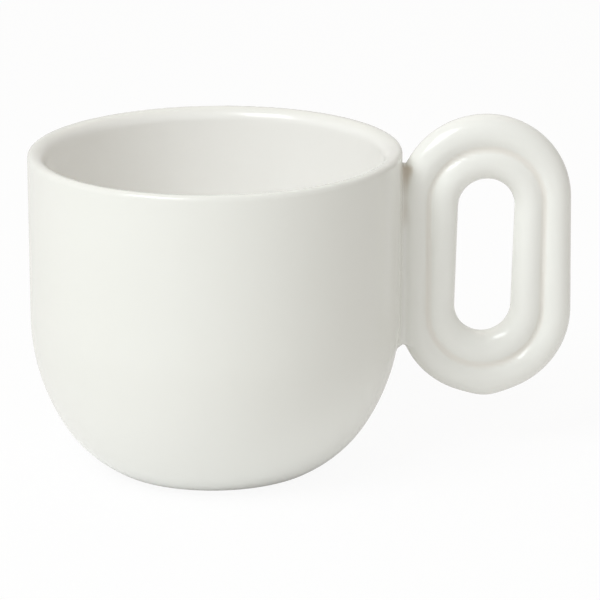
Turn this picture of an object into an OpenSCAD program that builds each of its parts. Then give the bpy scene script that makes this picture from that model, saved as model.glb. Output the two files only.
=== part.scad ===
// Espresso cup in glazed stoneware, with a handle of two rings of clay laid one inside the other.
// Frame: origin at the middle of the foot, on the table; +Z up; the handle points along +X. Millimetres.

/* [Bowl] */
// Outer diameter of the cup, over the glaze
rim_d = 60; // [54:0.5:72]
// Height from the table to the top of the rim
cup_h = 52.5; // [48:0.5:66]
// Thickness of the glazed wall
wall_t = 2.8; // [2.4:0.1:4]
// Radius of the outer edge of the rim; the inner edge takes the rest of the wall
rim_round = 0.8; // [0.6:0.1:1.6]
// Thickness of the glazed floor above the hollow of the foot
floor_t = 3.6; // [2.8:0.1:6]
// Radius between the floor and the wall, inside
floor_fillet = 12; // [6:0.5:14]

/* [Underside] */
// Outer diameter of the bare clay ring that the cup stands on
foot_d = 31; // [22:0.5:36]
// Width of the standing ring
foot_w = 2.6; // [1.6:0.1:4]
// Depth of the hollow inside the standing ring
foot_recess = 0.9; // [0.4:0.1:1.6]
// Slope of the underside where it leaves the foot, in degrees
foot_slope = 23; // [12:1:30]
// Slope at which the lower curve passes into the wider upper one, in degrees
blend_slope = 58; // [35:1:60]
// Radius of the upper curve over that of the lower one
curve_ratio = 1.66; // [1:0.01:1.7]

/* [Handle] */
// Height of the middle of the handle above the table
handle_z = 33.8; // [30:0.1:40]
// Width of the finger gap
gap_w = 9.2; // [7:0.1:16]
// Length of the straight legs of the outer ring
outer_leg_l = 18.7; // [12:0.1:26]
// How much shorter the straight legs of the inner ring are
leg_step = 2.2; // [0:0.1:3]
// Thickness of the glazed bar of the outer ring
outer_bar_d = 5.3; // [4.6:0.1:7]
// Thickness of the glazed bar of the inner ring
inner_bar_d = 5.3; // [4.6:0.1:7]
// Distance between the middles of the two bars, along the legs
bar_pitch = 4.2; // [3.8:0.1:5.2]
// How far the glazed leg is pressed into the glaze of the wall
leg_press = 0.4; // [0:0.05:0.5]

/* [Slip] */
// Thickness of the slip between the two rings, along the legs
seam_t = 0.4; // [0.2:0.05:0.8]
// Depth of the slip between the two rings, from front to back
seam_w = 2.8; // [2:0.1:3.6]
// Least depth of the flats that press the two bars together
seam_bite = 0.15; // [0.1:0.05:0.4]
// Width of the slip that joins the leg to the bowl
joint_w = 3; // [2:0.1:4.4]
// Height of the slip that joins the leg to the bowl
joint_h = 28.5; // [20:0.5:34]

/* [Glaze] */
// Thickness of the glaze
glaze_t = 0.3; // [0.2:0.05:0.4]
// Thickness of the glaze that has run into the groove between the rings
pool_t = 0.55; // [0.3:0.05:0.7]
// Height above the table at which the outside glaze ends
glaze_line = 0.8; // [0.4:0.1:2]

/* [Hidden] */
$fn = 192;
arc_step = 3;

// Radii of the bare clay
clay_r = rim_d / 2 - glaze_t;
foot_r = foot_d / 2;
outer_clay_r = outer_bar_d / 2 - glaze_t;
inner_clay_r = inner_bar_d / 2 - glaze_t;

// The underside: two arcs that run into each other, from the foot to the upright wall
low_r = (clay_r - foot_r) / (sin(blend_slope) - sin(foot_slope) + curve_ratio * (1 - sin(blend_slope)));
high_r = curve_ratio * low_r;
low_c = [foot_r, 0] - low_r * toward(foot_slope);
high_c = low_c - (high_r - low_r) * toward(blend_slope);

// The inside follows the upper arc down to the fillet of the floor
inside_r = high_r + glaze_t - wall_t;
floor_z = foot_recess + floor_t;
fillet_z = floor_z + floor_fillet;
fillet_drop = high_c[1] - fillet_z;
fillet_out = sqrt(pow(inside_r - floor_fillet, 2) - pow(fillet_drop, 2));
fillet_c = [high_c[0] + fillet_out, fillet_z];
fillet_slope = atan2(fillet_out, fillet_drop);

// The rings of the handle, measured from the middle of the finger gap
inner_ring_r = (gap_w + inner_bar_d) / 2;
outer_ring_r = inner_ring_r + bar_pitch;
inner_leg_l = outer_leg_l - leg_step;
seam_r = (inner_ring_r + inner_clay_r + outer_ring_r - outer_clay_r) / 2;
seam_span = max(seam_t, bar_pitch - outer_clay_r - inner_clay_r + 2 * seam_bite);
outer_flat_r = seam_r + seam_span / 2;
inner_flat_r = seam_r - seam_span / 2;
leg_x = rim_d / 2 - leg_press + outer_bar_d / 2;
handle_x = leg_x + outer_ring_r;

// Unit vector in the half section at an angle from straight down, turning outwards and then up
function toward(a) = [sin(a), -cos(a)];

function arc(centre, r, from, to) =
  let (n = ceil(abs(to - from) / arc_step))
  [for (i = [0 : n]) centre + r * toward(from + (to - from) * i / n)];

function tail(list) = [for (i = [1 : len(list) - 1]) list[i]];

function reverse(list) = [for (i = [len(list) - 1 : -1 : 0]) list[i]];

// Slope of the lower arc, moved out by a coat, where it reaches a height
function slope_at(z, coat) = acos((low_c[1] - z) / (low_r + coat));

// Outside of the bowl from a slope on the lower arc up to the shoulder, under a coat of glaze
function outside(coat, start) = concat(
  arc(low_c, low_r + coat, start, blend_slope),
  tail(arc(high_c, high_r + coat, blend_slope, 90))
);

// Rim from the outer wall over the crest to the inner wall, under a coat of glaze
function rim(coat) =
  let (x = rim_d / 2 - rim_round, inner = wall_t - rim_round)
  concat(
    arc([x, cup_h - rim_round], rim_round - glaze_t + coat, 90, 180),
    tail(arc([x, cup_h - inner], inner - glaze_t + coat, 180, 270))
  );

// Inside of the bowl from the wall down to the middle of the floor, at a depth under the glaze
function inside(depth) = concat(
  arc(high_c, inside_r + depth, 90, fillet_slope),
  tail(arc(fillet_c, floor_fillet + depth, fillet_slope, 0)),
  [[0, floor_z - depth]]
);

// Under the cup, from the middle of the hollow to the inner edge of the standing ring
function hollow() = [
  [0, foot_recess],
  [foot_r - foot_w - foot_recess, foot_recess],
  [foot_r - foot_w, 0]
];

// Half section of the bare clay bowl
module clay_section() {
  polygon(concat(hollow(), outside(0, foot_slope), rim(0), inside(glaze_t)));
}

// Half section of the glaze over the outside, the rim and the inside
module glaze_section() {
  polygon(concat(
    outside(glaze_t, slope_at(glaze_line, glaze_t)),
    rim(glaze_t),
    inside(0),
    reverse(inside(glaze_t)),
    reverse(rim(0)),
    reverse(outside(0, slope_at(glaze_line, 0)))
  ));
}

// All that the outside of the bowl encloses, under a coat of glaze
module bowl_mass(coat) {
  rotate_extrude()
    polygon(concat([[0, 0]], outside(coat, foot_slope), [[clay_r + coat, cup_h], [0, cup_h]]));
}

// Section of the outer bar at a radius, flat on the side that is pressed to the inner one
module outer_bar(r) {
  intersection() {
    translate([outer_ring_r, 0]) circle(r);
    translate([outer_flat_r, -2 * r]) square(4 * r);
  }
}

// Section of the inner bar at a radius, flat on the side that is pressed to the outer one
module inner_bar(r) {
  intersection() {
    translate([inner_ring_r, 0]) circle(r);
    translate([inner_flat_r - 4 * r, -2 * r]) square(4 * r);
  }
}

// Carries a section round a ring of the handle: two straight legs and two half-round ends
module round_the_gap(leg_l) {
  translate([handle_x, 0, handle_z]) {
    for (side = [0, 1])
      mirror([side, 0, 0])
        translate([0, 0, -leg_l / 2])
          linear_extrude(leg_l) children();
    for (end = [0, 1])
      mirror([0, 0, end])
        translate([0, 0, leg_l / 2])
          rotate([90, 0, 0])
            rotate_extrude(angle = 180) children();
  }
}

// Outline with two straight sides and two half-round ends
module stadium(r, leg_l) {
  square([2 * r, leg_l], center = true);
  for (end = [-1, 1])
    translate([0, end * leg_l / 2]) circle(r);
}

// Flat band between the flats of the two rings, from one depth to another, front or back
module seam_band(from, to) {
  translate([handle_x, to, handle_z])
    rotate([90, 0, 0])
      linear_extrude(to - from)
        difference() {
          stadium(outer_flat_r, outer_leg_l);
          stadium(inner_flat_r, inner_leg_l);
        }
}

// Room for the slip, from the clay of the bowl to the middle line of the outer ring
module joint_room() {
  difference() {
    translate([foot_r, -joint_w / 2, handle_z - joint_h / 2])
      cube([handle_x - foot_r, joint_w, joint_h]);
    translate([handle_x, 0, handle_z])
      rotate([90, 0, 0])
        linear_extrude(2 * joint_w, center = true) stadium(outer_ring_r, outer_leg_l);
    bowl_mass(0);
  }
}

module bowl() {
  color("#e4dccd") rotate_extrude() clay_section();
}

module bowl_glaze() {
  color("#f1efe9")
    difference() {
      rotate_extrude() glaze_section();
      joint_room();
    }
}

module handle_outer_ring() {
  color("#e4dccd") round_the_gap(outer_leg_l) outer_bar(outer_clay_r);
}

module handle_inner_ring() {
  color("#e4dccd") round_the_gap(inner_leg_l) inner_bar(inner_clay_r);
}

module ring_seam() {
  color("#d9cfbd") seam_band(-seam_w / 2, seam_w / 2);
}

module handle_joint() {
  color("#d9cfbd")
    difference() {
      joint_room();
      round_the_gap(outer_leg_l) outer_bar(outer_clay_r);
    }
}

// Coat round both rings, with the glaze that pooled in the grooves at the front and the back
module handle_glaze() {
  color("#f1efe9")
    difference() {
      union() {
        round_the_gap(outer_leg_l)
          difference() {
            outer_bar(outer_bar_d / 2);
            outer_bar(outer_clay_r);
          }
        round_the_gap(inner_leg_l)
          difference() {
            inner_bar(inner_bar_d / 2);
            inner_bar(inner_clay_r);
          }
        seam_band(seam_w / 2, seam_w / 2 + pool_t);
        seam_band(-seam_w / 2 - pool_t, -seam_w / 2);
      }
      joint_room();
      bowl_mass(glaze_t);
    }
}

bowl();
bowl_glaze();
handle_outer_ring();
handle_inner_ring();
ring_seam();
handle_joint();
handle_glaze();
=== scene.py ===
"""Looks of the espresso cup: one skin of glaze over the solids of the bowl and its handle of two rings."""
import math

import bmesh
import bpy
import numpy as np
from mathutils import Matrix, Vector


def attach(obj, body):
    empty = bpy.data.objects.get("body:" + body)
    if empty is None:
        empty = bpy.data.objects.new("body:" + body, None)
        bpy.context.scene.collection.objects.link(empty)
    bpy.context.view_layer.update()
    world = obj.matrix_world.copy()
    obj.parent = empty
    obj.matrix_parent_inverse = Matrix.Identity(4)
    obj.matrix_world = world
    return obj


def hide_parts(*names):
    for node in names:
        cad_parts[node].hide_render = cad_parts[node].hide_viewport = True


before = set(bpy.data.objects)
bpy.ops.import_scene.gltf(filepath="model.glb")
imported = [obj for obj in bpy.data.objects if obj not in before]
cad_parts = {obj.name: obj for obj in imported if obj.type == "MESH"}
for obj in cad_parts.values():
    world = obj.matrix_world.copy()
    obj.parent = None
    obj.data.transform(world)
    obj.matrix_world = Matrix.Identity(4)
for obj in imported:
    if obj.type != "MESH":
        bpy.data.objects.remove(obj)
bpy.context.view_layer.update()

MM = 0.001

# Bowl, in millimetres and degrees, as in the solids
RIM_R = 30.0
CUP_H = 52.5
WALL_T = 2.8
RIM_OUT = 0.8
RIM_IN = WALL_T - RIM_OUT
GLAZE_T = 0.3
GLAZE_LINE = 0.8
FLOOR_Z = 4.5
FLOOR_FILLET = 12.0
FOOT_R = 15.5
FOOT_SLOPE = math.radians(23)
BLEND_SLOPE = math.radians(58)
CURVE_RATIO = 1.66

# Handle, in millimetres and degrees, as in the solids
HANDLE_X = 43.7
HANDLE_Z = 33.8
OUTER_RING_R = 11.45
INNER_RING_R = 7.25
OUTER_LEG = 18.7
INNER_LEG = 16.5
OUTER_BAR_R = 2.65
INNER_BAR_R = 2.65

# The bars widen by this where the rings turn, and their middle lines draw together by as much
END_WIDEN = 0.36

# Slip in the crease by the bowl: its reach, half its width, and how much it flares at the bowl
# and thins upwards
WEB_X = (27.0, 31.5)
WEB_HALF_Y = 1.9
WEB_Z = (19.4, 48.65)
WEB_FLARE = 0.7
WEB_FLARE_X = (29.5, 31.0)
WEB_THIN = 0.35
WEB_THIN_Z = (36.8, 45.5)

# Traces of handwork, kept within the thickness of the glaze: the bowl slants and the rings lean a little
SLANT = 0.0083
SLANT_Z = 27.0
OUTER_LEAN = math.radians(-0.66)
INNER_LEAN = math.radians(1.7)

# Glaze that gathered at the lowest place of the handle: how thick, where, how far to each side and up
DROP_T = 0.31
DROP_X = 44.0
DROP_HALF = 2.8
DROP_UP = 2.5

# How far the glaze rounds off the groove between the rings and the crease by the bowl
GROOVE_SOFT = 0.8
CREASE_SOFT = 1.0

# Painted light: the handle, and the bowl from the second of these heights down to the first, are painted
# paler, in place of light bounced up from the floor
PAINTED_BOUNCE_Z = (8.0, 25.0)

# Painted shade, dark and warm, in the crease by the bowl over the slip: more and more between these
# heights, and less and less between these distances from the slip's surface
CREASE_SHADE_Z = (38.0, 44.0)
CREASE_SHADE_REACH = (0.3, 0.95)

# Grid of the skin and the room round it, and how the skin is mended, relaxed and settled on its field
CELL = 0.56
MARGIN = 1.0
UNPINCH_ROUNDS = 3
RELAX_ROUNDS = 8
RELAX_PULL = 0.6
PROJECT_STEPS = 3
GRADIENT_STEP = 0.02
TINY = 1e-6

# Edge of the glaze: how far the skin goes on below it before it is cut, the steps inwards and up in which
# it turns in onto the clay, and how deep and how near the line a point belongs to that turn
CUT_DEPTH = 1.2
LIP_STEPS = ((0.2, -0.06), (0.35, 0.1), (0.3, 0.3))
LIP_DEPTH = 0.05
LIP_NEAR = 0.001

# Glaze: its two tones, then each share of painted light or painted shade with its weight and colour, and
# its roughness
GLAZE_TONES = ((0.872, 0.874, 0.838), (0.856, 0.856, 0.815))
GLAZE_COATS = (
    # painted light: the handle and the lower bowl painted paler, for light bounced up from the floor
    ("full", 1.0, (0.925, 0.928, 0.895)),
    # painted light: the inside of the bowl painted paler, for the light that fills the cup
    ("inside", 1.0, (0.972, 0.967, 0.945)),
    # painted shade: darker, warmer tone in the groove between the rings
    ("pooled", 0.55, (0.82, 0.77, 0.7)),
    # painted shade: dark warm tone high in the crease by the bowl
    ("crease_shade", 1.0, (0.65, 0.59, 0.5)),
)
GLAZE_ROUGHNESS = (0.12, 0.18)

# Bare clay and slip: a pale and a dark tone, and the scale of the grain
STONEWARE = ((0.78, 0.71, 0.6), (0.66, 0.58, 0.47), 1400.0)
SLIP = ((0.74, 0.68, 0.58), (0.64, 0.57, 0.48), 2000.0)
SPECK_TONE = (0.35, 0.27, 0.2)
SPECK_SCALE = 1.6
CLAY_ROUGHNESS = 0.85

# Sockets of a mix node that mixes colours
MIX_FACTOR = 0
MIX_A = 6
MIX_B = 7
MIX_RESULT = 2

# Studio: the floor's tone and size, the soft light from all round, and the shares of plain white
# in each that the camera sees and that reflections see
FLOOR_TONE = (0.95, 0.95, 0.95)
FLOOR_R = 6.0
FLOOR_WHITE = (0.93, 0.3)
WORLD_TONE = (1, 0.966, 0.905)
WORLD_STRENGTH = 0.42
WORLD_WHITE = (1.0, 0.6)

# Lamps: azimuth and elevation in degrees, distance and size in metres, power in watts, and colour
LAMPS = {
    "key": (-46, 46, 0.9, 0.5, 4.9, (0.945, 0.985, 1)),
    "back": (180, 60, 0.9, 0.9, 1.1, (1, 0.88, 0.79)),
    "fill": (62, 5, 0.9, 0.5, 0.22, (1, 0.985, 0.96)),
}
LAMP_AIM = (0.01, 0, 0.03)

# Camera that took the photograph, fitted to the outlines of the rim, the bowl and the handle
VIEW_AZIMUTH = math.radians(-3.35)
VIEW_ELEVATION = math.radians(16.82)
VIEW_ROLL = math.radians(-0.337)
VIEW_DISTANCE = 534.4
VIEW_TARGET = (13.665, 27.157)
FOCAL_PX = 3294.9
IMAGE_PX = 600
SENSOR = 36.0


def toward(slope):
    """Unit vector in the half section at an angle from straight down, turning outwards and then up."""
    return np.array([math.sin(slope), -math.cos(slope)])


# Curves of the underside and the inside, worked out as in the solids
LOW_R = (RIM_R - GLAZE_T - FOOT_R) / (
    math.sin(BLEND_SLOPE) - math.sin(FOOT_SLOPE) + CURVE_RATIO * (1 - math.sin(BLEND_SLOPE))
)
HIGH_R = CURVE_RATIO * LOW_R
LOW_C = np.array([FOOT_R, 0.0]) - LOW_R * toward(FOOT_SLOPE)
HIGH_C = LOW_C - (HIGH_R - LOW_R) * toward(BLEND_SLOPE)
INSIDE_R = HIGH_R + GLAZE_T - WALL_T
FILLET_Z = FLOOR_Z + FLOOR_FILLET
FILLET_OUT = math.sqrt((INSIDE_R - FLOOR_FILLET) ** 2 - (HIGH_C[1] - FILLET_Z) ** 2)
FILLET_C = (HIGH_C[0] + FILLET_OUT, FILLET_Z)
FILLET_SLOPE = math.atan2(FILLET_OUT, HIGH_C[1] - FILLET_Z)


def eased(value, start, end):
    """Smooth step from 0 at the start to 1 at the end."""
    t = np.clip((value - start) / (end - start), 0, 1)
    return t * t * (3 - 2 * t)


def blended(a, b, soft):
    """Smooth union of two fields, and how much both share each place, from 0 to 1."""
    h = np.clip(0.5 + 0.5 * (b - a) / soft, 0, 1)
    share = h * (1 - h)
    return b + (a - b) * h - soft * share, 4 * share


def from_axis(x, y, z):
    """Distance from the bowl's slightly slanting axis."""
    return np.hypot(x - SLANT * (z - SLANT_Z), y)


def hollow_field(x, y, z):
    """Signed distance to the hollow of the bowl, in millimetres."""
    r = from_axis(x, y, z)
    slope = np.arctan2(r - HIGH_C[0], HIGH_C[1] - z)
    from_high = np.hypot(r - HIGH_C[0], z - HIGH_C[1])
    from_fillet = np.hypot(r - FILLET_C[0], z - FILLET_C[1])
    floor = np.where(r > FILLET_C[0], from_fillet - FLOOR_FILLET, FLOOR_Z - z)
    hollow = np.where(slope > FILLET_SLOPE, from_high - INSIDE_R, floor)
    return np.where(z > HIGH_C[1], r - RIM_R + WALL_T, hollow)


def bowl_field(x, y, z):
    """Signed distance to the glazed bowl, in millimetres, right near its surface."""
    r = from_axis(x, y, z)
    slope = np.arctan2(r - HIGH_C[0], HIGH_C[1] - z)
    from_high = np.hypot(r - HIGH_C[0], z - HIGH_C[1])
    from_low = np.hypot(r - LOW_C[0], z - LOW_C[1])
    low = np.where(r < LOW_C[0], LOW_C[1] - z, from_low) - LOW_R - GLAZE_T
    curve = np.where(slope > BLEND_SLOPE, from_high - HIGH_R - GLAZE_T, low)
    outer = np.maximum(np.where(z > HIGH_C[1], r - RIM_R, curve), GLAZE_LINE - CUT_DEPTH - z)
    body = np.maximum(outer, -hollow_field(x, y, z))
    crest = RIM_R - RIM_OUT
    rim_out = np.hypot(r - crest, z - CUP_H + RIM_OUT) - RIM_OUT
    rim_in = np.hypot(r - crest, z - CUP_H + RIM_IN) - RIM_IN
    body = np.where((z > CUP_H - RIM_OUT) & (r > crest), rim_out, body)
    return np.where((z > CUP_H - RIM_IN) & (r <= crest), rim_in, body)


def ring_field(x, y, z, ring_r, leg, bar_r, lean, draw):
    """Distance to one ring of the handle: two straight legs and two round ends, where the bar widens."""
    out, up = x - HANDLE_X, z - HANDLE_Z
    across = out * math.cos(lean) - up * math.sin(lean)
    along = np.maximum(np.abs(out * math.sin(lean) + up * math.cos(lean)) - leg / 2, 0)
    away = np.hypot(across, along)
    turn = (along / np.maximum(away, TINY)) ** 2
    wide = bar_r + abs(draw) * turn
    return (np.hypot((away - ring_r - draw * turn) / wide, y / bar_r) - 1) * bar_r


def web_field(x, y, z):
    """Signed distance to the slip that fills the crease between the bowl and the leg."""
    top = eased(z, *WEB_THIN_Z)
    flare = WEB_FLARE * (1 - top) * (1 - eased(x, *WEB_FLARE_X))
    out = [
        np.maximum(WEB_X[0] - x, x - WEB_X[1]),
        np.abs(y) - WEB_HALF_Y - flare + WEB_THIN * top,
        np.maximum(WEB_Z[0] - z, z - WEB_Z[1]),
    ]
    past = np.sqrt(sum(np.maximum(o, 0) ** 2 for o in out))
    block = past + np.minimum(np.maximum(np.maximum(out[0], out[1]), out[2]), 0)
    return np.maximum(block, RIM_R - WALL_T / 2 - from_axis(x, y, z))


def drop_depth(x, z):
    """How much thicker the glaze is at the lowest place of the handle."""
    lowest = HANDLE_Z - OUTER_LEG / 2 - OUTER_RING_R - OUTER_BAR_R
    beside = np.exp(-(((x - DROP_X) / DROP_HALF) ** 2))
    return DROP_T * beside * (1 - eased(z, lowest, lowest + DROP_UP))


def handle_field(x, y, z):
    """Distance to the glazed handle with its slip, and the share of the groove between the rings, where
    shade is painted.
    """
    outer = ring_field(x, y, z, OUTER_RING_R, OUTER_LEG, OUTER_BAR_R, OUTER_LEAN, -END_WIDEN)
    inner = ring_field(x, y, z, INNER_RING_R, INNER_LEG, INNER_BAR_R, INNER_LEAN, END_WIDEN)
    rings, groove = blended(outer - drop_depth(x, z), inner, GROOVE_SOFT)
    return blended(rings, web_field(x, y, z), CREASE_SOFT)[0], groove


def skin_field(x, y, z):
    """Distance to the whole glazed cup."""
    return blended(bowl_field(x, y, z), handle_field(x, y, z)[0], CREASE_SOFT)[0]


def coat_shares(x, y, z):
    """Shares from 0 to 1 of painted light and shade: groove and crease painted darker, handle, lower bowl
    and inside painted paler.
    """
    to_handle, groove = handle_field(x, y, z)
    handle = np.clip(0.5 + bowl_field(x, y, z) - to_handle, 0, 1)
    # where shade is painted in the crease by the bowl
    near_crease = 1 - eased(np.abs(web_field(x, y, z)), *CREASE_SHADE_REACH)
    return {
        # painted shade in the groove between the rings
        "pooled": groove * handle,
        # painted light: the handle and the lower bowl painted paler
        "full": np.maximum(handle, 1 - eased(z, *PAINTED_BOUNCE_Z)),
        # painted light: the inside of the bowl painted paler
        "inside": np.clip(1 - np.abs(hollow_field(x, y, z)), 0, 1),
        # painted shade high in the crease by the bowl
        "crease_shade": near_crease * eased(z, *CREASE_SHADE_Z),
    }


def unpinch(inside):
    """Fills grid nodes where the skin would touch itself along an edge."""
    for axis in range(3):
        layers = np.moveaxis(inside, axis, 0)
        a, b = layers[:, :-1, :-1], layers[:, 1:, :-1]
        c, d = layers[:, :-1, 1:], layers[:, 1:, 1:]
        crossed = (a == d) & (b == c) & (a != b)
        for corner in (a, b, c, d):
            corner |= crossed


def net(low, high, cell):
    """Cells that the skin passes through, as points, and the quads that join them."""
    counts = np.ceil((np.array(high) - low) / cell).astype(int) + 1
    xs, ys, zs = (low[i] + cell * np.arange(counts[i]) for i in range(3))
    inside = np.empty(counts, bool)
    y_grid, z_grid = np.meshgrid(ys, zs, indexing="ij")
    for i, x in enumerate(xs):
        inside[i] = skin_field(np.full_like(y_grid, x), y_grid, z_grid) < 0
    for _ in range(UNPINCH_ROUNDS):
        unpinch(inside)
    corners = np.zeros(counts - 1, int)
    for dx in (0, 1):
        for dy in (0, 1):
            for dz in (0, 1):
                corners += inside[dx:counts[0] - 1 + dx, dy:counts[1] - 1 + dy, dz:counts[2] - 1 + dz]
    crossed = (corners > 0) & (corners < 8)
    index = np.full(crossed.shape, -1)
    index[crossed] = np.arange(crossed.sum())
    points = np.array(low) + cell * (np.argwhere(crossed) + 0.5)
    quads = []
    for axis in range(3):
        first, second = (axis + 1) % 3, (axis + 2) % 3
        head = np.take(inside, range(counts[axis] - 1), axis)
        tail = np.take(inside, range(1, counts[axis]), axis)
        for leaving, order in ((head & ~tail, (0, 1, 2, 3)), (tail & ~head, (3, 2, 1, 0))):
            at = np.argwhere(leaving)
            around = []
            for a, b in ((0, 0), (-1, 0), (-1, -1), (0, -1)):
                cell_at = at.copy()
                cell_at[:, first] += a
                cell_at[:, second] += b
                around.append(index[tuple(cell_at.T)])
            quads.append(np.stack([around[k] for k in order], axis=1))
    return points, np.concatenate(quads)


def gradient(points):
    """Outward unit normals of the skin, from its field."""
    out = np.empty_like(points)
    for axis in range(3):
        shift = np.zeros(3)
        shift[axis] = GRADIENT_STEP
        ahead = skin_field(*(points + shift).T)
        behind = skin_field(*(points - shift).T)
        out[:, axis] = ahead - behind
    return out / np.maximum(np.linalg.norm(out, axis=1, keepdims=True), TINY)


def settled(points):
    """Points moved along the field's gradient onto the skin."""
    for _ in range(PROJECT_STEPS):
        points = points - skin_field(*points.T)[:, None] * gradient(points)
    return points


def relaxed(points, quads):
    """Points spread evenly over the skin."""
    sides = np.concatenate([quads[:, [i, (i + 1) % 4]] for i in range(4)])
    sides = np.unique(np.sort(sides, axis=1), axis=0)
    ends = np.concatenate([sides, sides[:, ::-1]])
    degree = np.bincount(ends[:, 0], minlength=len(points))[:, None]
    for _ in range(RELAX_ROUNDS):
        total = np.stack(
            [np.bincount(ends[:, 0], points[ends[:, 1], k], len(points)) for k in range(3)], axis=1
        )
        points = settled((1 - RELAX_PULL) * points + RELAX_PULL * total / degree)
    return points


def new_object(name, mesh, material):
    """Object for a mesh, with its material, in the scene."""
    mesh.materials.append(material)
    piece = bpy.data.objects.new(name, mesh)
    bpy.context.scene.collection.objects.link(piece)
    return piece


def glaze_lip(bm):
    """Cuts the skin at the glaze line, turns its edge in onto the clay and closes it inside the clay."""
    geom = bm.verts[:] + bm.edges[:] + bm.faces[:]
    line = GLAZE_LINE * MM
    bmesh.ops.bisect_plane(
        bm, geom=geom, dist=1e-7, plane_co=(0, 0, line), plane_no=(0, 0, 1), clear_inner=True
    )
    rim = [e for e in bm.edges if e.is_boundary]
    for inward, up in LIP_STEPS:
        made = bmesh.ops.extrude_edge_only(bm, edges=rim)["geom"]
        for v in (g for g in made if isinstance(g, bmesh.types.BMVert)):
            r = math.hypot(v.co.x, v.co.y)
            v.co.x *= 1 - inward * MM / r
            v.co.y *= 1 - inward * MM / r
            v.co.z += up * MM
        rim = [e for e in bm.edges if e.is_boundary]
    bmesh.ops.holes_fill(bm, edges=rim, sides=0)
    bmesh.ops.triangulate(bm, faces=[f for f in bm.faces if len(f.verts) > 4])
    bmesh.ops.recalc_face_normals(bm, faces=bm.faces[:])


def glaze_coat(material):
    """The glaze over the bowl and the handle, as one skin."""
    bowl_reach = RIM_R + MARGIN
    ring_reach = OUTER_RING_R + OUTER_BAR_R + MARGIN
    low = (-bowl_reach, -bowl_reach, GLAZE_LINE - CUT_DEPTH - MARGIN)
    high = (HANDLE_X + ring_reach, bowl_reach, HANDLE_Z + OUTER_LEG / 2 + ring_reach)
    points, quads = net(low, high, CELL)
    points = relaxed(settled(points), quads)
    mesh = bpy.data.meshes.new("glaze_coat")
    mesh.from_pydata((points * MM).tolist(), [], quads.tolist())
    bm = bmesh.new()
    bm.from_mesh(mesh)
    glaze_lip(bm)
    bm.to_mesh(mesh)
    bm.free()
    places = np.empty(3 * len(mesh.vertices))
    mesh.vertices.foreach_get("co", places)
    places = places.reshape(-1, 3) / MM
    for name, values in coat_shares(*places.T).items():
        layer = mesh.attributes.new(name, "FLOAT", "POINT")
        layer.data.foreach_set("value", values.astype(np.float32))
    mesh.shade_smooth()
    normals = gradient(places)
    at_lip = (places[:, 2] < GLAZE_LINE + LIP_NEAR) | (skin_field(*places.T) < -LIP_DEPTH)
    flat = np.empty(3 * len(mesh.vertices))
    mesh.vertex_normals.foreach_get("vector", flat)
    normals[at_lip] = flat.reshape(-1, 3)[at_lip]
    mesh.normals_split_custom_set_from_vertices(normals.tolist())
    piece = new_object("glaze_coat", mesh, material)
    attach(piece, "root")
    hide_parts("bowl_glaze", "handle_glaze")


def node_material(name):
    """Empty node material with its shader, and a maker of further nodes."""
    material = bpy.data.materials.new(name)
    material.use_nodes = True
    tree = material.node_tree
    shader = tree.nodes["Principled BSDF"]

    def add(kind, **settings):
        node = tree.nodes.new(kind)
        for key, value in settings.items():
            if key in node.inputs:
                node.inputs[key].default_value = value
            else:
                setattr(node, key, value)
        return node

    return material, tree.links.new, shader, add


def glaze_material():
    """Off-white gloss glaze, slightly uneven, with painted light and painted shade laid on its tone from
    the shares.
    """
    material, link, shader, add = node_material("glaze")
    where = add("ShaderNodeTexCoord")
    cloud = add("ShaderNodeTexNoise", Scale=70.0, Detail=3.0, Roughness=0.5)
    link(where.outputs["Object"], cloud.inputs["Vector"])
    tone = add("ShaderNodeMix", data_type="RGBA", clamp_factor=True)
    tone.inputs[MIX_A].default_value = (*GLAZE_TONES[0], 1)
    tone.inputs[MIX_B].default_value = (*GLAZE_TONES[1], 1)
    link(cloud.outputs["Fac"], tone.inputs[MIX_FACTOR])
    colour = tone.outputs[MIX_RESULT]
    for share, most, coat in GLAZE_COATS:
        where_coat = add("ShaderNodeAttribute", attribute_name=share)
        weight = add("ShaderNodeMath", operation="MULTIPLY")
        weight.inputs[1].default_value = most
        link(where_coat.outputs["Fac"], weight.inputs[0])
        mix = add("ShaderNodeMix", data_type="RGBA")
        mix.inputs[MIX_B].default_value = (*coat, 1)
        link(weight.outputs[0], mix.inputs[MIX_FACTOR])
        link(colour, mix.inputs[MIX_A])
        colour = mix.outputs[MIX_RESULT]
    link(colour, shader.inputs["Base Color"])
    gloss = add("ShaderNodeMapRange")
    gloss.inputs["To Min"].default_value = GLAZE_ROUGHNESS[0]
    gloss.inputs["To Max"].default_value = GLAZE_ROUGHNESS[1]
    link(cloud.outputs["Fac"], gloss.inputs["Value"])
    link(gloss.outputs["Result"], shader.inputs["Roughness"])
    waves = add("ShaderNodeTexNoise", Scale=160.0, Detail=2.0)
    link(where.outputs["Object"], waves.inputs["Vector"])
    bump = add("ShaderNodeBump", Strength=0.12, Distance=0.00004)
    link(waves.outputs["Fac"], bump.inputs["Height"])
    link(bump.outputs["Normal"], shader.inputs["Normal"])
    return material


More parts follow.
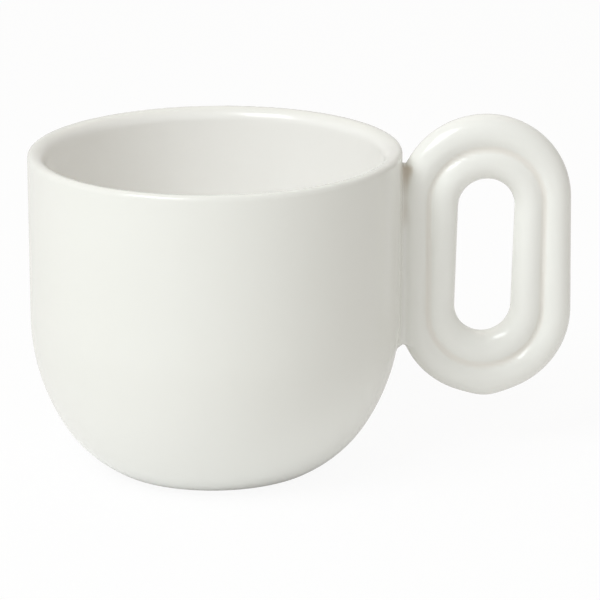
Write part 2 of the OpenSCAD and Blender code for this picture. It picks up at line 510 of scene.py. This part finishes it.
def clay_material(name, pale, dark, grain):
    """Bare fired clay: matt, with fine grain and a few darker specks."""
    material, link, shader, add = node_material(name)
    where = add("ShaderNodeTexCoord")
    fine = add("ShaderNodeTexNoise", Scale=grain, Detail=6.0, Roughness=0.65)
    link(where.outputs["Object"], fine.inputs["Vector"])
    tone = add("ShaderNodeMix", data_type="RGBA")
    tone.inputs[MIX_A].default_value = (*pale, 1)
    tone.inputs[MIX_B].default_value = (*dark, 1)
    link(fine.outputs["Fac"], tone.inputs[MIX_FACTOR])
    speck = add("ShaderNodeTexVoronoi", Scale=grain * SPECK_SCALE)
    link(where.outputs["Object"], speck.inputs["Vector"])
    rare = add("ShaderNodeMapRange")
    for socket, value in (("From Min", 0.06), ("From Max", 0.16), ("To Min", 0.7), ("To Max", 0.0)):
        rare.inputs[socket].default_value = value
    link(speck.outputs["Distance"], rare.inputs["Value"])
    spotted = add("ShaderNodeMix", data_type="RGBA")
    spotted.inputs[MIX_B].default_value = (*SPECK_TONE, 1)
    link(rare.outputs["Result"], spotted.inputs[MIX_FACTOR])
    link(tone.outputs[MIX_RESULT], spotted.inputs[MIX_A])
    link(spotted.outputs[MIX_RESULT], shader.inputs["Base Color"])
    shader.inputs["Roughness"].default_value = CLAY_ROUGHNESS
    bump = add("ShaderNodeBump", Strength=0.35, Distance=0.0001)
    link(fine.outputs["Fac"], bump.inputs["Height"])
    link(bump.outputs["Normal"], shader.inputs["Normal"])
    return material


def dress_nodes(clay, slip):
    """Materials for the solids that stay as they are under the glaze."""
    for name, material in (
        ("bowl", clay),
        ("handle_outer_ring", clay),
        ("handle_inner_ring", clay),
        ("ring_seam", slip),
        ("handle_joint", slip),
    ):
        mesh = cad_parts[name].data
        mesh.materials.clear()
        mesh.materials.append(material)


def background_share(tree, to_camera, to_gloss):
    """Share of plain white seen by the camera and by reflections; none of it lights the object."""
    path = tree.nodes.new("ShaderNodeLightPath")
    seen = None
    for ray, share in (
        ("Is Camera Ray", to_camera),
        ("Is Glossy Ray", to_gloss),
        ("Is Transmission Ray", to_gloss),
    ):
        scaled = tree.nodes.new("ShaderNodeMath")
        scaled.operation = "MULTIPLY"
        scaled.inputs[1].default_value = share
        tree.links.new(path.outputs[ray], scaled.inputs[0])
        if seen is None:
            seen = scaled
            continue
        most = tree.nodes.new("ShaderNodeMath")
        most.operation = "MAXIMUM"
        tree.links.new(seen.outputs[0], most.inputs[0])
        tree.links.new(scaled.outputs[0], most.inputs[1])
        seen = most
    return seen.outputs[0]


def studio_floor():
    """Pale floor that looks nearly white to the camera and keeps a soft shadow."""
    material = bpy.data.materials.new("floor")
    material.use_nodes = True
    tree = material.node_tree
    tree.nodes.remove(tree.nodes["Principled BSDF"])
    paper = tree.nodes.new("ShaderNodeBsdfDiffuse")
    paper.inputs["Color"].default_value = (*FLOOR_TONE, 1)
    white = tree.nodes.new("ShaderNodeEmission")
    mix = tree.nodes.new("ShaderNodeMixShader")
    tree.links.new(background_share(tree, *FLOOR_WHITE), mix.inputs[0])
    tree.links.new(paper.outputs[0], mix.inputs[1])
    tree.links.new(white.outputs[0], mix.inputs[2])
    tree.links.new(mix.outputs[0], tree.nodes["Material Output"].inputs["Surface"])
    bpy.ops.mesh.primitive_circle_add(vertices=96, radius=FLOOR_R, fill_type="NGON")
    floor = bpy.context.object
    floor.name = "studio_floor"
    floor.data.materials.append(material)


def studio_world():
    """Soft even light all round, and plain white where the camera or a reflection sees past the floor."""
    world = bpy.data.worlds.new("studio")
    bpy.context.scene.world = world
    world.use_nodes = True
    tree = world.node_tree
    soft = tree.nodes["Background"]
    soft.inputs["Color"].default_value = (*WORLD_TONE, 1)
    soft.inputs["Strength"].default_value = WORLD_STRENGTH
    white = tree.nodes.new("ShaderNodeBackground")
    white.inputs["Color"].default_value = (1, 1, 1, 1)
    mix = tree.nodes.new("ShaderNodeMixShader")
    tree.links.new(background_share(tree, *WORLD_WHITE), mix.inputs[0])
    tree.links.new(soft.outputs[0], mix.inputs[1])
    tree.links.new(white.outputs[0], mix.inputs[2])
    tree.links.new(mix.outputs[0], tree.nodes["World Output"].inputs["Surface"])


def soft_light(name, azimuth, elevation, distance, size, power, colour):
    """Square soft box that faces the cup; azimuth 0 is in front and grows to the right."""
    lamp = bpy.data.lights.new(name, "AREA")
    lamp.shape = "SQUARE"
    lamp.size = size
    lamp.energy = power
    lamp.color = colour
    a, e = math.radians(azimuth), math.radians(elevation)
    away = Vector((math.sin(a) * math.cos(e), -math.cos(a) * math.cos(e), math.sin(e)))
    box = bpy.data.objects.new(name, lamp)
    box.location = away * distance + Vector(LAMP_AIM)
    box.rotation_euler = away.to_track_quat("Z", "Y").to_euler()
    bpy.context.scene.collection.objects.link(box)


def camera():
    """Camera at the photograph's angle and distance."""
    a, e, roll = VIEW_AZIMUTH, VIEW_ELEVATION, VIEW_ROLL
    back = Vector((math.sin(a) * math.cos(e), -math.cos(a) * math.cos(e), math.sin(e)))
    right = Vector((math.cos(a), math.sin(a), 0))
    up = back.cross(right)
    across = right * math.cos(roll) + up * math.sin(roll)
    upward = up * math.cos(roll) - right * math.sin(roll)
    place = across * VIEW_TARGET[0] + Vector((0, 0, VIEW_TARGET[1])) + back * VIEW_DISTANCE
    data = bpy.data.cameras.new("camera")
    data.sensor_width = SENSOR
    data.lens = FOCAL_PX / IMAGE_PX * SENSOR
    data.clip_start = 0.01
    eye = bpy.data.objects.new("camera", data)
    turn = Matrix((across, upward, back)).transposed().to_4x4()
    eye.matrix_world = Matrix.Translation(place * MM) @ turn
    bpy.context.scene.collection.objects.link(eye)
    bpy.context.scene.camera = eye


def main():
    """Builds the skin, the materials and the studio."""
    glaze_coat(glaze_material())
    dress_nodes(clay_material("stoneware", *STONEWARE), clay_material("slip", *SLIP))
    studio_floor()
    studio_world()
    for name, settings in LAMPS.items():
        soft_light(name, *settings)
    camera()
    bpy.context.scene.view_settings.view_transform = "Standard"


main()
